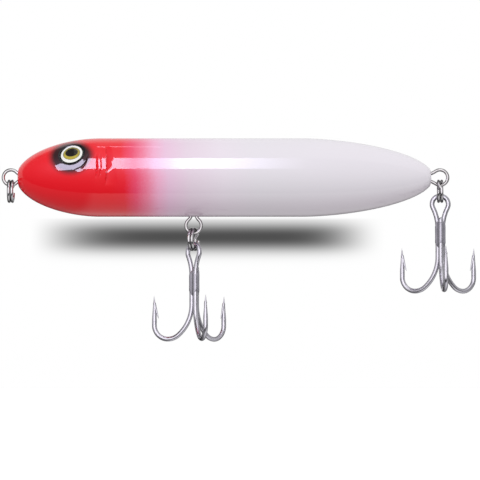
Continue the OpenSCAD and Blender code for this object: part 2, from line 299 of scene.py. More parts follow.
class Graph:
    """Short calls for building a node tree."""

    def __init__(self, tree):
        self.nodes = tree.nodes
        self.links = tree.links
        self.nodes.clear()

    def put(self, kind, values=None, **settings):
        node = self.nodes.new(kind)
        for key, value in settings.items():
            setattr(node, key, value)
        for key, value in (values or {}).items():
            self.feed(node.inputs[key], value)
        return node

    def feed(self, socket, value):
        if isinstance(value, bpy.types.NodeSocket):
            self.links.new(value, socket)
        else:
            socket.default_value = value

    def math(self, operation, *values):
        node = self.put("ShaderNodeMath", dict(enumerate(values)), operation=operation)
        return node.outputs[0]

    def mix(self, factor, first, second, blend="MIX"):
        values = {0: factor, 6: first, 7: second}
        return self.put("ShaderNodeMix", values, data_type="RGBA", blend_type=blend).outputs[2]

    def span(self, value, start, end, low=0.0, high=1.0):
        """A smooth step from low to high as value runs from start to end."""
        values = {0: value, 1: start, 2: end, 3: low, 4: high}
        return self.put("ShaderNodeMapRange", values, interpolation_type="SMOOTHSTEP").outputs[0]

    def colours(self, value, stops):
        ramp = self.put("ShaderNodeValToRGB", {0: value})
        elements = ramp.color_ramp.elements
        while len(elements) < len(stops):
            elements.new(0.5)
        for element, (position, colour) in zip(elements, stops):
            element.position = position
            element.color = (*colour, 1)
        return ramp.outputs[0]

    def noise(self, vector, scale, detail=3.0, roughness=0.5):
        values = {"Vector": vector, "Scale": scale, "Detail": detail, "Roughness": roughness}
        return self.put("ShaderNodeTexNoise", values).outputs[0]

    def bump(self, height, strength, distance):
        values = {"Height": height, "Strength": strength, "Distance": distance}
        return self.put("ShaderNodeBump", values).outputs[0]

    def split(self, vector):
        """The x, y and z of a vector."""
        return self.put("ShaderNodeSeparateXYZ", {0: vector}).outputs

    def folded(self, place):
        """A place mirrored onto the +Y side, so that both sides look alike."""
        x, y, z = self.split(place)
        values = {0: x, 1: self.math("ABSOLUTE", y), 2: z}
        return self.put("ShaderNodeCombineXYZ", values).outputs[0]

    def between(self, operation, vector, other, output=0):
        """A difference, distance or dot product of a vector and a fixed one."""
        values = {0: vector, 1: tuple(other)}
        return self.put("ShaderNodeVectorMath", values, operation=operation).outputs[output]

    def length(self, u, v):
        squares = self.math("ADD", self.math("MULTIPLY", u, u), self.math("MULTIPLY", v, v))
        return self.math("SQRT", squares)

    def fall(self, distance, power):
        """A bell that falls from 1 as distance grows."""
        raised = self.math("POWER", distance, power)
        return self.math("EXPONENT", self.math("MULTIPLY", raised, -1.0))

    def clear(self):
        """A shader that light passes straight through."""
        return self.put("ShaderNodeBsdfTransparent").outputs[0]


def new_material(name):
    """A material with an empty node tree, its graph, and object coordinates in millimetres."""
    material = bpy.data.materials.new(name)
    material.use_nodes = True
    graph = Graph(material.node_tree)
    place = graph.put("ShaderNodeTexCoord").outputs["Object"]
    scaled = graph.put("ShaderNodeVectorMath", {0: place, "Scale": 1 / MM}, operation="SCALE")
    return material, graph, scaled.outputs[0]


def finish_material(graph, shader):
    """Makes a shader the material's surface."""
    output = graph.put("ShaderNodeOutputMaterial")
    graph.links.new(shader, output.inputs["Surface"])


def principled(graph, **values):
    """A Principled shader, whose inputs are named with _ for spaces."""
    named = {key.replace("_", " "): value for key, value in values.items()}
    return graph.put("ShaderNodeBsdfPrincipled", named).outputs[0]


# ---- eye frame


def skin_radius(x):
    """Radius of the body's outer skin at a distance behind the line tie."""
    nose = np.clip(1 - (x - NOSE_X + NOSE_BLUNT) / NOSE_LEN, 0, 1)
    tail = np.clip(1 - (TAIL_X - x + TAIL_BLUNT) / TAIL_LEN, 0, 1)
    return BODY_R * np.sqrt(1 - nose**NOSE_POWER) * np.sqrt(1 - tail**TAIL_POWER)


def eye_place(side):
    """Centre and axes of an eye: x along its width, y up its face, z outwards."""
    r = skin_radius(EYE_X)
    centre = np.array([EYE_X, -side * r * math.cos(EYE_LIFT), r * math.sin(EYE_LIFT)])
    tilt = math.pi / 2 - EYE_LIFT
    x_axis = np.array([
        math.cos(EYE_LEAD),
        -side * math.sin(EYE_LEAD) * math.sin(tilt),
        math.sin(EYE_LEAD) * math.cos(tilt),
    ])
    y_axis = np.array([0.0, side * math.cos(tilt), math.sin(tilt)])
    z_axis = np.array([
        -math.sin(EYE_LEAD),
        -side * math.cos(EYE_LEAD) * math.sin(tilt),
        math.cos(EYE_LEAD) * math.cos(tilt),
    ])
    return centre, x_axis, y_axis, z_axis


# ---- materials

WHITE = (1, 1, 1, 1)
BLACK = (0.006, 0.005, 0.006, 1)
# Painted shade: the colour that paint on downward-facing faces is multiplied towards, with a faint pink cast.
BELLY_SHADE = (0.88, 0.84, 0.86, 1)

# The head's red fades to pearl from FADE_START on, over FADE_LEN: share of the way, colour.
FADE_START = 28.0
FADE_LEN = 40.0
FADE = [
    (0.000, (0.860, 0.0025, 0.012)),
    (0.095, (0.850, 0.006, 0.022)),
    (0.175, (0.845, 0.067, 0.153)),
    (0.250, (0.860, 0.212, 0.339)),
    (0.325, (0.863, 0.415, 0.602)),
    (0.400, (0.800, 0.533, 0.707)),
    (0.550, (0.770, 0.639, 0.745)),
    (0.775, (0.790, 0.715, 0.795)),
    (1.000, (0.765, 0.728, 0.785)),
]

# The black patch round an eye: half width, half height, and how far its middle lies below the
# eye's. Above its middle the patch is flatter, by PATCH_FLAT. Its edge fades between two shares
# of its size, and a full black rim ends between two distances from the eye's middle.
PATCH_W = 6.5
PATCH_H = 5.6
PATCH_DROP = 0.7
PATCH_FLAT = 1.22
PATCH_EDGE = (1.10, 0.70)
PATCH_BLACK = 0.96
RIM_EDGE = (4.20, 3.80)


def body_paint():
    """Airbrushed red head fading through pink to pearl white, under a clear coat."""
    material, graph, place = new_material("body_paint")
    x, _, z = graph.split(place)
    overspray = graph.noise(place, 2.2, 4, 0.65)
    drift = graph.math("MULTIPLY_ADD", overspray, 2.0, -1.0)
    lifted = graph.span(z, -1.0, 3.0, 0.0, 1.3)
    along = graph.math("ADD", graph.math("ADD", x, drift), lifted)
    fade = graph.math("DIVIDE", graph.math("SUBTRACT", along, FADE_START), FADE_LEN)
    colour = graph.colours(fade, FADE)
    # Painted shade: paint darkens as its faces turn downwards, standing in for the dimmer light under the body.
    facing = graph.put("ShaderNodeTexCoord").outputs["Normal"]
    belly = graph.span(graph.split(facing)[2], -0.28, -0.90)
    colour = graph.mix(graph.math("MULTIPLY", belly, 0.85), colour, BELLY_SHADE, "MULTIPLY")

    centre = eye_place(SIDES["right"])[0]
    reach = graph.between("DISTANCE", graph.folded(place), centre, "Value")
    above = graph.math("SUBTRACT", z, centre[2] - PATCH_DROP)
    flattened = graph.math("MULTIPLY", above, PATCH_FLAT)
    below = graph.math("MULTIPLY", above, -1.0)
    patch_x = graph.math("DIVIDE", graph.math("SUBTRACT", x, centre[0]), PATCH_W)
    patch_z = graph.math("DIVIDE", graph.math("MAXIMUM", flattened, below), PATCH_H)
    speckle = graph.math("MULTIPLY_ADD", graph.noise(place, 5.0, 4, 0.7), 0.20, -0.10)
    patch = graph.math("ADD", graph.length(patch_x, patch_z), speckle)
    soft = graph.math("MULTIPLY", graph.span(patch, *PATCH_EDGE), PATCH_BLACK)
    dark = graph.math("MAXIMUM", soft, graph.span(reach, *RIM_EDGE))
    colour = graph.mix(dark, colour, BLACK)

    flakes = graph.put("ShaderNodeTexVoronoi", {"Vector": place, "Scale": 7.0}).outputs["Color"]
    sparkle = graph.put("ShaderNodeSeparateColor", {0: flakes}).outputs[0]
    colour = graph.mix(graph.math("MULTIPLY", sparkle, 0.045), colour, WHITE, "SOFT_LIGHT")
    roughness = graph.math("MULTIPLY_ADD", sparkle, 0.12, 0.42)
    peel = graph.bump(graph.noise(place, 0.55, 2, 0.4), 0.10, 0.00003)
    shader = principled(
        graph,
        Base_Color=colour,
        Roughness=roughness,
        Specular_IOR_Level=0.15,
        Coat_Weight=1.0,
        Coat_Roughness=0.02,
        Coat_IOR=1.5,
        Coat_Normal=peel,
    )
    finish_material(graph, shader)
    return material


def moulded_plastic():
    """Bare white plastic inside the shells, with faint flow marks."""
    material, graph, place = new_material("moulded_plastic")
    flow = graph.noise(place, 0.25, 5, 0.6)
    colour = graph.mix(flow, (0.70, 0.70, 0.68, 1), (0.82, 0.82, 0.80, 1))
    grain = graph.noise(place, 9.0, 3, 0.6)
    shader = principled(
        graph,
        Base_Color=colour,
        Roughness=graph.math("MULTIPLY_ADD", grain, 0.2, 0.38),
        Normal=graph.bump(grain, 0.15, 0.00004),
    )
    finish_material(graph, shader)
    return material


def bright_wire(name, colour, roughness, scratch, edge):
    """Drawn and plated wire: fine scratches, slight tarnish and painted shade towards its edges."""
    material, graph, place = new_material(name)
    tarnish = graph.noise(place, 0.9, 4, 0.6)
    dull = tuple(c * 0.84 for c in colour)
    tarnish_and_edge_shade = graph.mix(graph.span(tarnish, 0.35, 0.75), (*colour, 1), (*dull, 1))
    # Painted shade: the colour darkens where the wire turns away from the camera, standing in for dark reflections
    # at its edges.
    facing = graph.put("ShaderNodeLayerWeight", {"Blend": 0.5}).outputs["Facing"]
    rim = tuple(c * edge for c in colour)
    tarnish_and_edge_shade = graph.mix(graph.span(facing, 0.16, 0.60), tarnish_and_edge_shade, (*rim, 1))
    scratches = graph.noise(place, 14.0, 4, 0.7)
    polish = graph.math("MULTIPLY_ADD", scratches, scratch, roughness - scratch / 2)
    shader = principled(
        graph,
        Base_Color=tarnish_and_edge_shade,
        Metallic=1.0,
        Roughness=polish,
        Normal=graph.bump(scratches, 0.05, 0.00001),
    )
    finish_material(graph, shader)
    return material


# Ovals printed on the foil: half width, half height, and the middle's shift across and up.
SILVER = (2.95, 2.95, 0.0, 0.0)
IRIS_LINE = (2.22, 1.95, 0.05, 0.0)
IRIS = (2.12, 1.85, 0.05, 0.0)
PUPIL = (1.55, 1.22, 0.05, 0.25)
PUPIL_INK = (1.58, 1.25, 0.05, 0.25)


def eye_foil():
    """Printed foil: silver outer ring, gold iris and an oval black pupil."""
    material, graph, place = new_material("eye_foil")
    centre, x_axis, y_axis, _ = eye_place(SIDES["right"])
    offset = graph.between("SUBTRACT", graph.folded(place), centre)
    across = graph.between("DOT_PRODUCT", offset, x_axis, 1)
    upward = graph.between("DOT_PRODUCT", offset, y_axis, 1)

    def edge(oval, start, end):
        """A step from 0 to 1 between two shares of an oval's size."""
        width, height, shift_x, shift_y = oval
        u = graph.math("DIVIDE", graph.math("SUBTRACT", across, shift_x), width)
        v = graph.math("DIVIDE", graph.math("SUBTRACT", upward, shift_y), height)
        return graph.span(graph.length(u, v), start, end)

    brushed = graph.noise(place, 6.0, 4, 0.7)
    streaks = graph.span(brushed, 0.30, 0.55)
    silver = graph.mix(streaks, (0.66, 0.66, 0.62, 1), (0.98, 0.98, 0.96, 1))
    silver = graph.mix(edge(SILVER, 0.99, 1.02), silver, (0.01, 0.01, 0.01, 1))
    gold_shade = graph.math("MULTIPLY_ADD", upward, -0.22, 0.45)
    gold = graph.mix(gold_shade, (0.30, 0.26, 0.05, 1), (0.86, 0.68, 0.10, 1))
    colour = graph.mix(edge(IRIS_LINE, 1.04, 0.98), silver, (0.10, 0.09, 0.05, 1))
    gilt = edge(IRIS, 1.02, 0.97)
    colour = graph.mix(gilt, colour, gold)
    colour = graph.mix(edge(PUPIL, 1.06, 0.98), colour, (0.012, 0.008, 0.006, 1))
    inked = edge(PUPIL_INK, 1.05, 0.95)
    metal = graph.math("MULTIPLY", graph.math("SUBTRACT", gilt, inked), 0.35)
    shader = principled(
        graph,
        Base_Color=colour,
        Metallic=metal,
        Roughness=graph.math("MULTIPLY_ADD", brushed, 0.15, 0.28),
    )
    finish_material(graph, shader)
    return material


def eye_lens():
    """Clear resin dome. Light for the foil passes straight through it."""
    material, graph, place = new_material("eye_lens")
    haze = graph.noise(place, 1.5, 3, 0.5)
    clear = principled(
        graph,
        Base_Color=WHITE,
        Roughness=graph.math("MULTIPLY", haze, 0.02),
        IOR=1.49,
        Transmission_Weight=1.0,
    )
    path = graph.put("ShaderNodeLightPath")
    passing = graph.math("MAXIMUM", path.outputs["Is Shadow Ray"], path.outputs["Is Diffuse Ray"])
    mixed = graph.put("ShaderNodeMixShader", {0: passing, 1: clear, 2: graph.clear()})
    finish_material(graph, mixed.outputs[0])
    return material


def weight_steel():
    """Bearing steel of the hidden weight and rattle balls, with light rubbing marks."""
    material, graph, place = new_material("weight_steel")
    rub = graph.noise(place, 3.0, 5, 0.7)
    colour = graph.mix(rub, (0.36, 0.37, 0.39, 1), (0.56, 0.57, 0.58, 1))
    shader = principled(
        graph,
        Base_Color=colour,
        Metallic=1.0,
        Roughness=graph.math("MULTIPLY_ADD", rub, 0.3, 0.15),
        Normal=graph.bump(rub, 0.08, 0.00003),
    )
    finish_material(graph, shader)
    return material


PAINT = body_paint()
PLASTIC = moulded_plastic()
# Each wire's colour, roughness and depth of scratches, and how bright the painted shade at its edges is.
NICKEL = bright_wire("hanger_nickel", (0.66, 0.64, 0.65), 0.14, 0.08, 0.05)
RING_STEEL = bright_wire("ring_nickel", (0.78, 0.76, 0.78), 0.16, 0.08, 0.08)
HOOK_STEEL = bright_wire("hook_steel", (0.79, 0.77, 0.85), 0.24, 0.05, 0.32)
BRAZE = bright_wire("hook_braze", (0.58, 0.56, 0.64), 0.34, 0.16, 0.50)
FOIL = eye_foil()
LENS = eye_lens()
STEEL = weight_steel()

# ---- body shells

# Each gill mark's distance behind the line tie, bend, half height, lip, cut and recovery.
GILLS = [
    (24.15, 24.0, 3.6, 0.08, 0.32, 0.62),
    (25.25, 20.0, 3.2, 0.10, 0.30, 0.45),
    (26.85, 40.0, 5.4, 0.05, 0.80, 2.50),
]
GILL_Z = 2.6
GILL_TAPER = 0.8
GILL_LIP_W = 0.8
GILL_CUT_POWER = 1.15
GILL_NARROWING = 0.08

# The skin dips towards an eye's socket, which is a little wider than the eye.
SOCKET_GAP = 0.10
SOCKET_EDGE = 0.55
SOCKET_DIP = 0.26
SOCKET_SNAP = 0.09
EYE_REGION = 9.0

# The fold behind the eye: its radius about a point below the eye's middle, its cut and lip.
CREASE_DROP = 0.35
CREASE_R = 4.45
CREASE_CUT = 0.30
CREASE_W = 0.75
CREASE_LIP = 0.06
CREASE_LIP_W = 0.5
CREASE_REGION = 3.0

# Places along the body, and angles up its side, up to which the skin's points are so far apart.
STATION_STEPS = [(12, 0.4), (30, 0.15), (46, 0.8), (80, 1.7), (TAIL_X - TAIL_ROUND, 0.8)]
LIFT_STEPS = [(-86, 0.8), (-12, 2.6), (72, 0.85), (86, 2.0), (90, 0.8)]


def soft_radius(x):
    """The skin's radius with the edges of its nose and tail faces rounded over."""
    r = skin_radius(x)
    for distance, rounding in ((x - NOSE_X, NOSE_ROUND), (TAIL_X - x, TAIL_ROUND)):
        inward = np.clip(distance / rounding, 0, 1)
        r = r * (1 - (1 - inward) ** 3) ** (1 / 3)
    return r


def gill_height(x, z):
    """Height of the gill marks above the plain skin: a raised lip, a sharp cut, a slow recovery."""
    height = np.zeros_like(x)
    for mark_x, bend, reach, lip, cut, recovery in GILLS:
        up = z - GILL_Z
        inside = np.clip(1 - (up / reach) ** 2, 0, 1) ** GILL_TAPER
        edge = mark_x - bend + np.sqrt(np.maximum(bend**2 - up**2, 0.1))
        behind = x - edge
        raised = lip * np.exp(-((behind / GILL_LIP_W) ** 2)) * (behind < 0)
        healed = behind / (recovery * (1 - GILL_NARROWING * up))
        sunk = cut * np.clip(1 - healed, 0, 1) ** GILL_CUT_POWER * (behind >= 0)
        height += inside * (raised - sunk)
    return height


def crease_height(x, z):
    """Height of the fold that runs round the lower back of the eye."""
    centre = eye_place(SIDES["left"])[0]
    across = x - centre[0]
    up = z - centre[2] + CREASE_DROP
    reach = np.hypot(across, up)
    angle = np.degrees(np.arctan2(up, across))
    along = np.clip((angle + 75) / 25, 0, 1) * np.clip((0 - angle) / 18, 0, 1)
    outside = reach - CREASE_R
    width = CREASE_W * (0.4 + np.clip((-15 - angle) / 45, 0, 1))
    sunk = CREASE_CUT * np.clip(1 - outside / width, 0, 1) * (outside >= 0)
    raised = CREASE_LIP * np.exp(-((outside / CREASE_LIP_W) ** 2)) * (outside < 0)
    return along * (raised - sunk) * (np.abs(outside) < CREASE_REGION)


def sculpt(points, normals):
    """Cuts the gill marks and the fold by the eye, and sinks the eye's socket."""
    centre, *axes = eye_place(SIDES["left"])
    local = (points - centre) @ np.stack(axes, 1)
    reach = np.hypot(local[..., 0], local[..., 1])
    near = np.linalg.norm(points - centre, axis=-1) < EYE_REGION
    socket_r = EYE_R + SOCKET_GAP
    lip = np.clip(1 - (reach - socket_r) / SOCKET_EDGE, 0, 1) ** 2
    x, z = points[..., 0], points[..., 2]
    height = gill_height(x, z) + crease_height(x, z) - np.where(near, SOCKET_DIP * lip, 0.0)
    shaped = points + normals * height[..., None]
    local = (shaped - centre) @ np.stack(axes, 1)
    reach = np.hypot(local[..., 0], local[..., 1])
    sink = near & (reach < socket_r)
    local[..., 2] = np.where(sink, np.minimum(local[..., 2], -SOCKET_DEPTH), local[..., 2])
    edge = near & (abs(reach - socket_r) < SOCKET_SNAP)
    local[edge, :2] *= (socket_r / reach[edge])[:, None]
    rebuilt = local @ np.stack(axes) + centre
    return np.where((sink | edge)[..., None], rebuilt, shaped)


def spaced(start, stretches):
    """Places from start on, through stretches of (end, step)."""
    places = []
    for end, step in stretches:
        places.append(steps(start, end, step))
        start = end
    return places


def half_skin():
    """The outer skin of the left half as a grid of points, nose to tail and belly to back."""
    ease = np.linspace(0, 1, 9)[:-1] ** 3
    stations = np.concatenate([
        NOSE_X + NOSE_ROUND * ease,
        *spaced(NOSE_X + NOSE_ROUND, STATION_STEPS),
        TAIL_X - TAIL_ROUND * ease[::-1],
    ])
    lifts = np.radians(np.concatenate([*spaced(-90, LIFT_STEPS), [90.0]]))
    x, lift = np.meshgrid(stations, lifts, indexing="ij")
    r = soft_radius(x)
    slope = (skin_radius(x + 0.05) - skin_radius(x - 0.05)) / 0.1
    slope[(x < NOSE_X + 1) | (x > TAIL_X - 1)] = 0
    y = -r * np.cos(lift)
    y[:, 0] = 0
    y[:, -1] = 0
    points = np.stack([x, y, r * np.sin(lift)], -1)
    normals = np.stack([-slope, -np.cos(lift), np.sin(lift)], -1)
    normals /= np.linalg.norm(normals, axis=-1)[..., None]
    return sculpt(points, normals)


def half_shell(side, name):
    """One closed half of the hollow body: skin, cavity, parting face and inner ribs."""
    skin = half_skin()
    stations = np.linspace(CAVITY[0], CAVITY[1], 48)
    lifts = np.radians(np.linspace(-90, 90, 31))
    x, lift = np.meshgrid(stations, lifts, indexing="ij")
    r = skin_radius(x) - WALL
    inner_y = -r * np.cos(lift)
    inner_y[:, 0] = 0
    inner_y[:, -1] = 0
    inner = np.stack([x, inner_y, r * np.sin(lift)], -1)
    vertices = np.concatenate([skin.reshape(-1, 3), inner.reshape(-1, 3)])
    flip = np.array([1, side, 1])
    outer_faces = grid_faces(*skin.shape[:2])
    start = skin.shape[0] * skin.shape[1]
    rows, columns = inner.shape[:2]
    inner_faces = [tuple(start + c for c in face) for face in grid_faces(rows, columns)]
    inner_faces.append(tuple(start + c for c in range(columns)))
    inner_faces.append(tuple(start + (rows - 1) * columns + c for c in range(columns)))

    mesh = bpy.data.meshes.new(name)
    mesh.from_pydata([tuple(v) for v in vertices * flip * MM], [], outer_faces + inner_faces)
    mesh.polygons.foreach_set("material_index", [0] * len(outer_faces) + [1] * len(inner_faces))
    grown = bmesh.new()
    grown.from_mesh(mesh)
    bmesh.ops.remove_doubles(grown, verts=grown.verts, dist=FINE_WELD)
    rim = [edge for edge in grown.edges if edge.is_boundary]
    filled = bmesh.ops.triangle_fill(grown, edges=rim, use_beauty=True, normal=(0, side, 0))
    for item in filled["geom"]:
        if isinstance(item, bmesh.types.BMFace):
            item.material_index = 1
    bmesh.ops.recalc_face_normals(grown, faces=grown.faces)
    for points, polygons in shell_ribs(side):
        corners = [grown.verts.new(tuple(np.array(p) * MM)) for p in points]
        for polygon in polygons:
            grown.faces.new([corners[c] for c in polygon]).material_index = 1
        bmesh.ops.remove_doubles(grown, verts=corners, dist=FINE_WELD)
    grown.to_mesh(mesh)
    grown.free()
    mesh.materials.append(PAINT)
    mesh.materials.append(PLASTIC)
    mesh.shade_smooth()
    mesh.set_sharp_from_angle(angle=math.radians(50))
    piece = add_object(name, mesh)
    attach(piece, "lure_body")
    return piece


def shell_ribs(side):
    """The webs and the rattle tubes inside one half, each a closed solid."""
    parts = []
    for start in WEBS:
        hole = BALLAST_HOLE if start in BALLAST_WEBS else CLOSED_HOLE
        end = start + WEB
        outer = [skin_radius(x) - WALL / 2 for x in (start, end)]
        outline = [(start, hole), (start, outer[0]), (end, outer[1]), (end, hole)]
        parts.append(half_lathe(outline, 0.0, -side))
    for start, end in TUBES:
        outer = TUBE_R + TUBE_WALL
        outline = [(start, TUBE_R), (start, outer), (end, outer), (end, TUBE_R)]
        parts.append(half_lathe(outline, TUBE_Z, -side))
    return parts


SHELLS = {label: half_shell(side, f"painted_shell_{label}") for label, side in SIDES.items()}
for label, shell in SHELLS.items():
    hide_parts(f"shell_{label}")

# ---- eyes


# The foil's embossed rings, as (radius, rise), and the bevel of its rim.
EMBOSSED = [(2.45, 0.0), (2.32, 0.05), (2.20, 0.0), (1.60, 0.02), (0.9, 0.035), (0.0, 0.04)]
FOIL_RIM = (0.06, 0.05)
DOME_SHARE = 0.985
DOME_SINK = 0.03


def eye(side, label):
    """A printed foil disc under a clear dome, at one side of the head."""
    place = eye_place(side)
    floor = -SOCKET_DEPTH
    top = floor + FOIL_T
    profile = [(0.0, floor), (EYE_R, floor), (EYE_R, top - FOIL_RIM[1]), (EYE_R - FOIL_RIM[0], top)]
    profile += [(r, top + rise) for r, rise in EMBOSSED]
    foil = build(f"foil_disc_{label}", [lathe(profile, place)], FOIL, "lure_body")
    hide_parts(f"eye_foil_{label}")

    dome_r = (EYE_R**2 + DOME_H**2) / (2 * DOME_H)
    spread = math.asin(EYE_R / dome_r)
    profile = [(0.0, top - DOME_SINK), (EYE_R * DOME_SHARE, top - DOME_SINK)]
    for a in np.linspace(spread * DOME_SHARE, 0, 22):
        profile.append((dome_r * math.sin(a), top + DOME_H - dome_r * (1 - math.cos(a))))
    dome = build(f"clear_dome_{label}", [lathe(profile, place)], LENS, "lure_body")
    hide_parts(f"eye_dome_{label}")


for label, side in SIDES.items():
    eye(side, label)

# ---- wire parts


def loop_outline(loop, waist, half_gap):
    """Half of a wire loop that closes to a neck below it: from its top, round its left side."""
    neck = math.sqrt((loop + waist) ** 2 - (half_gap + waist) ** 2)
    turn = math.degrees(math.asin(neck / (loop + waist)))
    outline = arc((0, 0), loop, 90, 180 + turn)
    outline += arc((-half_gap - waist, -neck), waist, turn, 0)[1:]
    return outline, neck


def hanger(name, node, centre, toward, outer_waist):
    """A figure-eight hanger. toward points from the body to its outer loop."""
    half_gap = HANGER_WIRE / 2 + HANGER_GAP
    outer, outer_neck = loop_outline(LOOP_R, outer_waist, half_gap)
    inner, inner_neck = loop_outline(LOOP_R, SHORT_WAIST, half_gap)
    length = outer_neck + inner_neck
    left = outer + [(u, -length - v) for u, v in inner[::-1]][1:]
    right = [(-u, v) for u, v in left[::-1]][1:-1]
    toward = np.array(toward, float)
    across = np.cross([0.0, 1.0, 0.0], toward)
    path = [centre + u * across + v * toward for u, v in left + right]
    wire = sweep(path, HANGER_WIRE / 2, closed=True)
    piece = build(name, [wire], NICKEL, "lure_body")
    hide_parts(node)
    return piece


def split_ring(name, node, body, loop_centre, yaw):
    """Two close turns of wire joined by a short step, hanging from a loop."""
    last = RING_FIRST + 360 - RING_STEP
    angles = np.arange(RING_FIRST + RING_CLEAR, last + 360 - RING_CLEAR + 0.1, 4.0)
    across = np.array([math.cos(yaw), math.sin(yaw), 0.0])
    side = np.array([-math.sin(yaw), math.cos(yaw), 0.0])
    centre = loop_centre - np.array([0, 0, RING_DROP])
    path = []
    for angle in angles:
        share = min(1.0, max(0.0, (angle - last) / RING_STEP))
        shift = RING_PITCH * (share * share * (3 - 2 * share) - 0.5)
        a = math.radians(angle)
        spoke = side * math.cos(a) + np.array([0, 0, math.sin(a)])
        path.append(centre + spoke * RING_R + across * shift)
    wire = sweep(path, RING_WIRE / 2, end=FLAT_END)
    piece = build(name, [wire], RING_STEEL, body)
    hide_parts(node)
    return piece


ORIGIN = MOUNTS["line_tie"]
BELLY = MOUNTS["belly_hook_hanger"]
TAIL = MOUNTS["tail_hook_hanger"]
BELLY_RING_YAW = ring_yaw("belly_treble_swing")
TAIL_RING_YAW = ring_yaw("tail_treble_swing")

METAL = [
    hanger("line_tie_wire", "line_tie_hanger", ORIGIN, (-1, 0, 0), SHORT_WAIST),
    hanger("belly_wire", "belly_hanger", BELLY, (0, 0, -1), SHORT_WAIST),
    hanger("tail_wire", "tail_hanger", TAIL, (1, 0, 0), LONG_WAIST),
    split_ring("nose_coil_ring", "nose_split_ring", "nose_ring", ORIGIN, math.pi),
    split_ring("belly_coil_ring", "belly_split_ring", "belly_ring", BELLY, math.pi + BELLY_RING_YAW),
    split_ring("tail_coil_ring", "tail_split_ring", "tail_ring", TAIL, TAIL_RING_YAW),
]

# ---- treble hooks

HOOK_NECK = math.sqrt((HOOK_EYE_R + HOOK_WAIST) ** 2 - (SHANK_X + HOOK_WAIST) ** 2)
BEND_R = 3.85
HEEL_R = 4.6
BEND_H = 9.5
POINT_LEAN = 0.10
POINT_POWER = 0.72
BARB_LEN = 4.2
BARB_OUT = 0.62
BARB_WIRE = 0.40
BARB_SINK = 0.1
# Each arm's direction from the shank, in degrees.
DOUBLE_ARMS = (30, 150)
SINGLE_ARM = -90

# The solder's fullness along its length, as (share of the length, share of the full radius).
BRAZE_FILL = [
    (0, 0.3), (0.008, 0.7), (0.025, 0.92), (0.07, 1.0), (0.16, 1.0), (0.25, 1.0), (0.4, 1.0),
    (0.55, 0.985), (0.7, 1.0), (0.9, 1.0), (0.96, 0.94), (0.985, 0.8), (1.0, 0.45),
]
BRAZE_CORE = 0.20
BRAZE_MELT = 10


def arm_outline(shank_top):
    """Centre line of one arm, from its tip down, round the bend and up the shank, and its radii."""
    out = HOOK_REACH - BEND_R
    run = out - BUNDLE_R
    turn = 2 * math.degrees(math.atan((run - HEEL_R) / (BEND_H - HEEL_R)))
    sweep_r = HEEL_R + (BEND_H - HEEL_R) / math.sin(math.radians(turn))
    wire = HOOK_WIRE / 2
    tip = HOOK_BOTTOM - wire + HOOK_POINT_H
    base = tip - HOOK_TAPER
    points = []
    radii = []
    for share in np.linspace(1, 0, 22):
        points.append((HOOK_REACH + POINT_LEAN * share**2, base + HOOK_TAPER * share))
        radii.append(max(0.02, wire * (1 - share) ** POINT_POWER))
    bends = [(HOOK_REACH, z) for z in steps(base - 0.4, HOOK_BOTTOM + BEND_R, -0.5)]
    bends += arc((out, HOOK_BOTTOM + BEND_R), BEND_R, 0, -90)
    bends += arc((out, HOOK_BOTTOM + HEEL_R), HEEL_R, -90, -180 + turn)[1:]
    bends += arc((BUNDLE_R + sweep_r, HOOK_BOTTOM + BEND_H), sweep_r, 180 + turn, 180, 2)[1:]
    shank = [(BUNDLE_R, z) for z in np.linspace(HOOK_BOTTOM + BEND_H, -shank_top, 10)][1:]
    points += bends + shank
    radii += [wire] * (len(bends) + len(shank))
    return points, radii, base


def barb(angle, base):
    """A sliver raised from the inner side of the point, aimed down at the bend."""
    spread = HOOK_WIRE / 2 + BARB_OUT
    outline = []
    radii = []
    for share in np.linspace(0, 1, 14):
        up = BARB_LEN * (1 - share) - BARB_SINK
        edge = HOOK_REACH - spread * (HOOK_TAPER - up) / (HOOK_TAPER + BARB_SINK)
        radius = BARB_WIRE * (1 - share) ** 0.6 + 0.015
        outline.append((edge + radius, base + up))
        radii.append(radius)
    return [hook_point(angle, u, z) for u, z in outline], radii


def hook_point(angle, out, up):
    """A place in the plane of one arm, in the hook's own axes."""
    a = math.radians(angle)
    return np.array([out * math.cos(a), SHANK_Y + out * math.sin(a), up])


def treble(label, body, loop_centre, yaw):
    """A double hook whose middle is its eye, a single hook, and the braze that joins them."""
    points, radii, base = arm_outline(HOOK_NECK)
    right, left = [[hook_point(angle, u, z) for u, z in points] for angle in DOUBLE_ARMS]
    outline, _ = loop_outline(HOOK_EYE_R, HOOK_WAIST, SHANK_X)
    eye_left = [np.array([u, 0.0, v]) for u, v in outline]
    eye_right = [np.array([-u, 0.0, v]) for u, v in outline]
    double = right + eye_right[::-1][1:] + eye_left[1:-1] + left[::-1]
    wire = [HOOK_WIRE / 2] * (len(eye_right) - 1 + len(eye_left) - 2)
    double_radii = radii + wire + radii[::-1]
    points, lone_radii, base = arm_outline(BRAZE_TOP)
    single = [hook_point(SINGLE_ARM, u, z) for u, z in points]

    a = math.radians(yaw)
    turn = np.array([[math.cos(a), math.sin(a), 0], [-math.sin(a), math.cos(a), 0], [0, 0, 1]])
    centre = loop_centre - np.array([0, 0, HOOK_DROP])

    def placed(part):
        vertices, faces = part
        return vertices @ turn + centre, faces

    pair = [placed(sweep(double, double_radii))]
    pair += [placed(sweep(*barb(angle, base), sides=12)) for angle in DOUBLE_ARMS]
    lone = [placed(sweep(single, lone_radii)), placed(sweep(*barb(SINGLE_ARM, base), sides=12))]
    made = [
        build(f"{label}_double_hook_wire", pair, HOOK_STEEL, body),
        build(f"{label}_single_hook_wire", lone, HOOK_STEEL, body),
        build(f"{label}_hook_solder", [placed(braze())], BRAZE, body),
    ]
    for piece, part in zip(made, ("double", "single", "braze")):
        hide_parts(f"{label}_hook_{part}")
    return made


